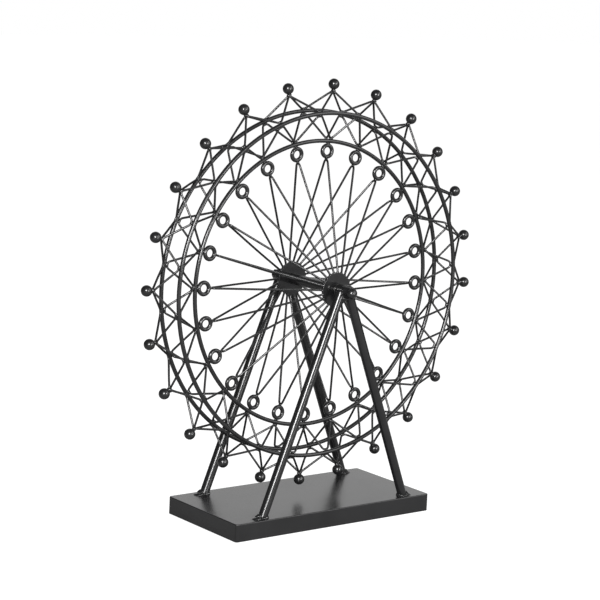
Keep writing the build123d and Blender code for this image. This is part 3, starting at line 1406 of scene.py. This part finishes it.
def stage_card(mesh):
    """Hang up a card, out of the camera's sight and of the plain light."""
    mesh.materials.append(material_named("Grey card", card_material))
    card = bpy.data.objects.new(mesh.name, mesh)
    bpy.context.scene.collection.objects.link(card)
    for reach in ("camera", "diffuse", "shadow", "transmission"):
        setattr(card, f"visible_{reach}", False)


def ceiling_card():
    """A round grey card over the object, which only its gloss mirrors."""
    mesh = bpy.data.meshes.new("ceiling_card")
    points = [around(15.0 * k, card_distance, card_height) for k in range(24)]
    mesh.from_pydata(points, [], [range(24)])
    stage_card(mesh)


def card_material():
    """Matt grey card with a little unevenness."""
    material, shader = new_material("Grey card")
    tree = material.node_tree
    cloud = noise(tree, object_place(tree), 3.0)
    feed(shader, {"Base Color": ranged(tree, cloud, 0.03, 0.08), "Roughness": 1.0})
    return material


class WHEEL_OT_stage(bpy.types.Operator):
    """Set up the pale floor, the lamps, the grey cards and the camera"""

    bl_idname = "wheel.stage"
    bl_label = "Stage"

    def execute(self, context):
        studio = context.scene.wheel_studio
        light_world(studio)
        mesh = bpy.data.meshes.new("floor")
        signs = ((-1, -1), (1, -1), (1, 1), (-1, 1))
        corners = [(floor_reach * x, floor_reach * y, 0) for x, y in signs]
        mesh.from_pydata(corners, [], [(0, 1, 2, 3)])
        mesh.materials.append(floor_material(studio))
        floor_plane = bpy.data.objects.new("floor", mesh)
        context.scene.collection.objects.link(floor_plane)
        aim = (0.0, 0.0, axle_z)
        for name, (azimuth, height, size) in lamps.items():
            place = around(azimuth, lamp_distance, height)
            area_lamp(name, place, aim, size, getattr(studio, f"{name}_power"))
        for name, (start, end) in cards.items():
            grey_card(name, start, end)
        ceiling_card()
        camera = bpy.data.cameras.new("camera")
        camera.lens = studio.focal_length
        camera.clip_end = 100.0
        holder = bpy.data.objects.new("camera", camera)
        holder.location = studio.camera_place
        holder.rotation_euler = studio.camera_turn
        context.scene.collection.objects.link(holder)
        context.scene.camera = holder
        context.scene.view_settings.view_transform = "Standard"
        return {"FINISHED"}


# ---------------------------------------------------------------- the add-on
class WHEEL_PT_panel(bpy.types.Panel):
    """Lists the pieces of the wheel and their sizes"""

    bl_idname = "WHEEL_PT_panel"
    bl_label = "Ferris wheel"
    bl_space_type = "VIEW_3D"
    bl_region_type = "UI"
    bl_category = "Ferris wheel"

    def draw(self, context):
        for operator in operators:
            self.layout.operator(operator.bl_idname)
        for group in (
            context.scene.wheel_sizes,
            context.scene.stand_sizes,
            context.scene.wheel_finishes,
            context.scene.wheel_studio,
        ):
            column = self.layout.column()
            for name in group.__annotations__:
                column.prop(group, name)


groups = {
    "wheel_sizes": WheelSizes,
    "stand_sizes": StandSizes,
    "wheel_finishes": Finishes,
    "wheel_studio": StudioSettings,
}
operators = (
    WHEEL_OT_base,
    WHEEL_OT_legs,
    WHEEL_OT_bearings,
    WHEEL_OT_hub,
    WHEEL_OT_rings,
    WHEEL_OT_lattices,
    WHEEL_OT_spokes,
    WHEEL_OT_eyelets,
    WHEEL_OT_balls,
    WHEEL_OT_welds,
    WHEEL_OT_stage,
)


def register():
    """Make the settings, the operators and the panel known."""
    for name, group in groups.items():
        bpy.utils.register_class(group)
        setattr(bpy.types.Scene, name, PointerProperty(type=group))
    for cls in (*operators, WHEEL_PT_panel):
        bpy.utils.register_class(cls)


def unregister():
    """Take the panel, the operators and the settings away again."""
    for cls in (WHEEL_PT_panel, *reversed(operators)):
        bpy.utils.unregister_class(cls)
    for name, group in groups.items():
        delattr(bpy.types.Scene, name)
        bpy.utils.unregister_class(group)


def main():
    """Build every piece and the stage."""
    register()
    for operator in operators:
        family, name = operator.bl_idname.split(".")
        getattr(getattr(bpy.ops, family), name)()


if __name__ == "__main__":
    main()
